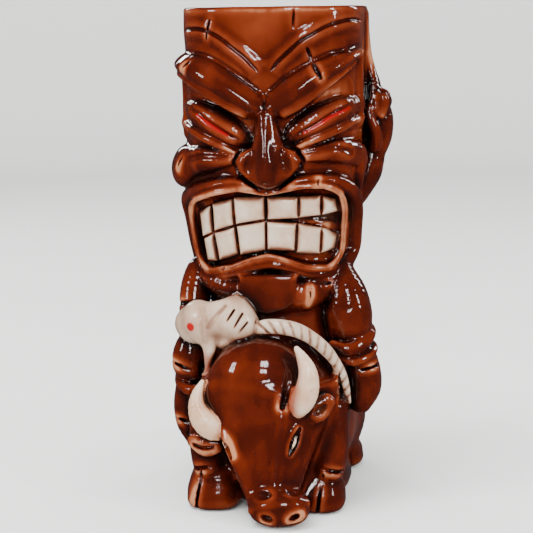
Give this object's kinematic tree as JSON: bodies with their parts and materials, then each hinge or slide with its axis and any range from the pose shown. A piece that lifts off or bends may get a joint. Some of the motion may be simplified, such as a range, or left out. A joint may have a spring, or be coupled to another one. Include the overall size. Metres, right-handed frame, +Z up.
{
  "type": "tiki mug",
  "caption": "Tall glazed ceramic tiki mug: a scowling carved head with bared teeth, ridden on a bull gripped by a rope.",
  "frame": {"origin": "centre of the underside, on the surface the mug stands on, below the middle of the rim", "axes": "+Z up through the mouth of the mug, -Y towards the face and the bull's muzzle, +X to the viewer's right"},
  "size_m": [0.0781, 0.1025, 0.178],
  "materials": {
    "mug_glaze": "clear glossy reddish-brown glaze over stoneware, darker in the hollows and tan on the edges",
    "brown_glaze": "clear glossy reddish-brown glaze over stoneware, darker in the hollows and tan on the edges",
    "teeth_glaze": "cream clear glaze, satin, with brown wash in the gaps",
    "glove_and_rope_glaze": "cream clear glaze, satin, with brown wash in the grooves",
    "horn_glaze": "cream clear glaze, satin, with a rust-coloured stain",
    "bull_eye_glaze": "cream clear glaze with a dark rim"
  },
  "bodies": {
    "root": {"mug_shell": "mug_glaze", "nose": "brown_glaze", "mouth_frame": "brown_glaze", "brow_left": "brown_glaze", "brow_right": "brown_glaze", "eye_left": "brown_glaze", "eye_right": "brown_glaze", "cheek_left": "brown_glaze", "cheek_right": "brown_glaze", "temple_left": "brown_glaze", "temple_right": "brown_glaze", "tooth_upper_left_1": "teeth_glaze", "tooth_upper_left_2": "teeth_glaze", "tooth_upper_left_3": "teeth_glaze", "tooth_upper_right_1": "teeth_glaze", "tooth_upper_right_2": "teeth_glaze", "tooth_upper_right_3": "teeth_glaze", "tooth_lower_left_1": "teeth_glaze", "tooth_lower_left_2": "teeth_glaze", "tooth_lower_left_3": "teeth_glaze", "tooth_lower_right_1": "teeth_glaze", "tooth_lower_right_2": "teeth_glaze", "tooth_lower_right_3": "teeth_glaze", "chin": "brown_glaze", "goatee": "brown_glaze", "glove_hand": "glove_and_rope_glaze", "glove_cuff": "glove_and_rope_glaze", "rein_arm": "brown_glaze", "raised_fingers": "brown_glaze", "raised_hand": "brown_glaze", "raised_forearm": "brown_glaze", "bull_rope": "glove_and_rope_glaze", "thigh_right": "brown_glaze", "thigh_left": "brown_glaze", "knee_cuff_right": "brown_glaze", "knee_cuff_left": "brown_glaze", "boot_right": "brown_glaze", "boot_left": "brown_glaze", "horn_right": "horn_glaze", "horn_left": "horn_glaze", "bull_eye_right": "bull_eye_glaze", "bull_eye_left": "bull_eye_glaze", "bull_head": "brown_glaze", "bull_ear_right": "brown_glaze", "bull_ear_left": "brown_glaze", "bull_neck": "brown_glaze", "bull_tail": "brown_glaze", "hoof_front_left": "brown_glaze", "foreleg_left": "brown_glaze", "hoof_rear_left": "brown_glaze", "haunch_left": "brown_glaze", "hoof_front_right": "brown_glaze", "foreleg_right": "brown_glaze", "hoof_rear_right": "brown_glaze", "haunch_right": "brown_glaze"}
  },
  "joints": []
}
